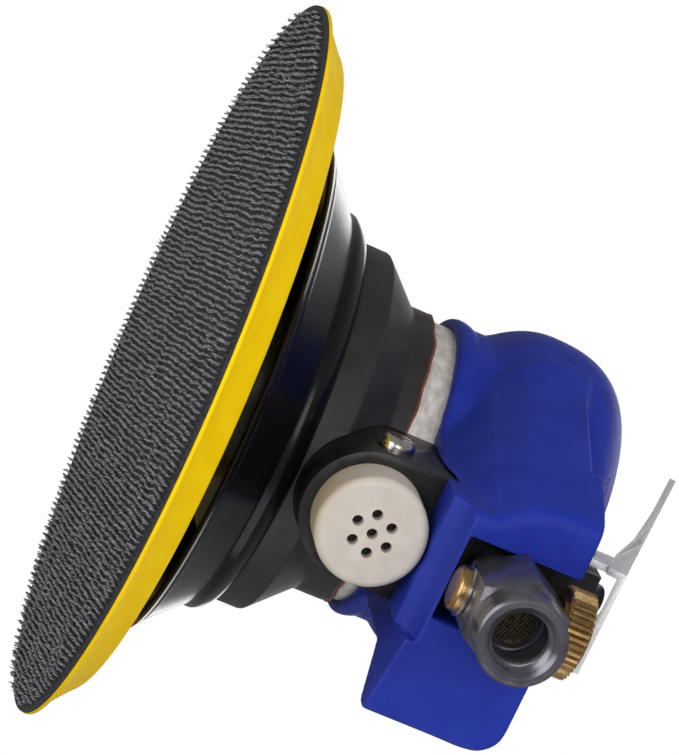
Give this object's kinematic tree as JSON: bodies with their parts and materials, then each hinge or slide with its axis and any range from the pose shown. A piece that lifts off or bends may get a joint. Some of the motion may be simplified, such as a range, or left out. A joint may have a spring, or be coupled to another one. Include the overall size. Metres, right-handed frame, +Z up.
{
  "type": "air orbital sander",
  "caption": "Palm-grip air orbital sander with a round hook pad, rubber shroud, moulded grip shell, throttle lever, speed regulator and exhaust muffler.",
  "frame": {"origin": "motor axis at the height of the pad's working face", "axes": "+Z up along the motor axis, -Y towards the air inlet and muffler, +X to the right as seen from behind the tool"},
  "size_m": [0.151, 0.1655, 0.1199],
  "materials": {
    "shell_blue": "moulded nylon, fine grain",
    "casing_alloy": "turned and brushed",
    "shroud_rubber": "smooth matte rubber",
    "skirt_gloss": "glossy moulded",
    "block_black": "black satin coat",
    "cap_cream": "sintered, slightly porous",
    "felt": "pressed felt",
    "fitting_black": "black nickel",
    "brass": "turned, knurled",
    "steel": "ground",
    "lever_steel": "bead blasted, satin",
    "nickel": "nickel plated",
    "bearing_steel": "polished",
    "rotor_steel": "milled",
    "balancer_steel": "machined casting",
    "vane_resin": "phenolic cloth laminate",
    "seal_rubber": "moulded seal",
    "plate_black": "glass-filled nylon",
    "foam_yellow": "skinned polyurethane foam",
    "hook_fabric": "woven hook fastener"
  },
  "bodies": {
    "body": {"motor_casing": "casing_alloy", "grip_shell": "shell_blue", "shroud": "shroud_rubber", "skirt": "skirt_gloss", "exhaust_block": "block_black", "clamp_screw": "nickel", "muffler_cap": "cap_cream", "muffler_felt": "felt", "inlet_fitting": "fitting_black", "screen_ring": "steel", "inlet_screen": "steel", "lever_pin": "steel", "lock_ring": "steel", "lower_end_plate": "casing_alloy", "lower_bearing_outer": "bearing_steel", "cylinder_liner": "rotor_steel", "liner_dowel": "steel", "upper_end_plate": "casing_alloy", "upper_bearing_outer": "bearing_steel", "end_gasket": "seal_rubber", "valve_cap": "brass", "valve_seat": "brass", "valve_bushing": "brass", "valve_spring": "steel"},
    "lever": {"throttle_lever": "lever_steel"},
    "valve": {"valve_stem": "brass", "valve_head": "seal_rubber"},
    "regulator": {"regulator_spindle": "brass", "regulator_knob": "brass", "regulator_clip": "nickel", "regulator_button": "brass"},
    "rotor_shaft": {"balancer": "balancer_steel", "rotor": "rotor_steel", "rotor_key": "steel", "lower_bearing_inner": "bearing_steel", "upper_bearing_inner": "bearing_steel", "spindle_bearing_outer": "bearing_steel", "bearing_retaining_ring": "steel"},
    "lower_balls": {"lower_bearing_balls": "bearing_steel"},
    "upper_balls": {"upper_bearing_balls": "bearing_steel"},
    "spindle_balls": {"spindle_bearing_balls": "bearing_steel"},
    "pad": {"hook_sheet": "hook_fabric", "pad_foam": "foam_yellow", "pad_plate": "plate_black", "pad_stud": "steel", "pad_spindle": "steel", "spindle_bearing_inner": "bearing_steel", "spindle_washer": "steel", "spindle_screw": "steel"},
    "vane_body_1": {"vane_1": "vane_resin"},
    "vane_body_2": {"vane_2": "vane_resin"},
    "vane_body_3": {"vane_3": "vane_resin"},
    "vane_body_4": {"vane_4": "vane_resin"},
    "vane_body_5": {"vane_5": "vane_resin"}
  },
  "joints": [
    {"name": "lever_press", "type": "hinge", "parent": "body", "child": "lever", "pos_m": [0, -0.05, 0.083], "axis": [-1, 0, 0], "range_deg": [0, 8], "stiffness_Nm_per_rad": 1, "springref_deg": -17.19},
    {"name": "valve_push", "type": "slide", "parent": "body", "child": "valve", "axis": [0, 0, -1], "range_m": [0, 0.0019], "deforming": ["valve_spring"]},
    {"name": "regulator_turn", "type": "hinge", "parent": "body", "child": "regulator", "pos_m": [0, -0.0712, 0.068], "axis": [0, 0, 1], "range_deg": [0, 90]},
    {"name": "motor_spin", "type": "hinge", "parent": "body", "child": "rotor_shaft", "pos_m": [0, 0, 0.05], "axis": [0, 0, 1], "continuous": true},
    {"name": "lower_balls_roll", "type": "hinge", "parent": "body", "child": "lower_balls", "pos_m": [0, 0, 0.0475], "axis": [0, 0, 1], "continuous": true},
    {"name": "upper_balls_roll", "type": "hinge", "parent": "body", "child": "upper_balls", "pos_m": [0, 0, 0.081], "axis": [0, 0, 1], "continuous": true},
    {"name": "pad_spin", "type": "hinge", "parent": "rotor_shaft", "child": "pad", "pos_m": [-0.0024, 0, 0.02], "axis": [0, 0, 1], "continuous": true},
    {"name": "spindle_balls_roll", "type": "hinge", "parent": "rotor_shaft", "child": "spindle_balls", "pos_m": [-0.0024, 0, 0.025], "axis": [0, 0, 1], "continuous": true},
    {"name": "vane_1_slide", "type": "slide", "parent": "rotor_shaft", "child": "vane_body_1", "axis": [0.809, 0.5878, 0], "range_m": [-0.0012, 0.0001]},
    {"name": "vane_2_slide", "type": "slide", "parent": "rotor_shaft", "child": "vane_body_2", "axis": [-0.309, 0.9511, 0], "range_m": [-0.0012, 0.0001]},
    {"name": "vane_3_slide", "type": "slide", "parent": "rotor_shaft", "child": "vane_body_3", "axis": [-1, 0, 0], "range_m": [-0.0012, 0.0001]},
    {"name": "vane_4_slide", "type": "slide", "parent": "rotor_shaft", "child": "vane_body_4", "axis": [-0.309, -0.9511, 0], "range_m": [-0.0012, 0.0001]},
    {"name": "vane_5_slide", "type": "slide", "parent": "rotor_shaft", "child": "vane_body_5", "axis": [0.809, -0.5878, 0], "range_m": [-0.0012, 0.0001]}
  ],
  "couplings": [
    {"joint": "valve_push", "follows": "lever_press", "m_per_rad": 0.012892},
    {"joint": "lower_balls_roll", "follows": "motor_spin", "ratio": 0.381},
    {"joint": "upper_balls_roll", "follows": "motor_spin", "ratio": 0.36767},
    {"joint": "spindle_balls_roll", "follows": "pad_spin", "ratio": 0.4}
  ]
}
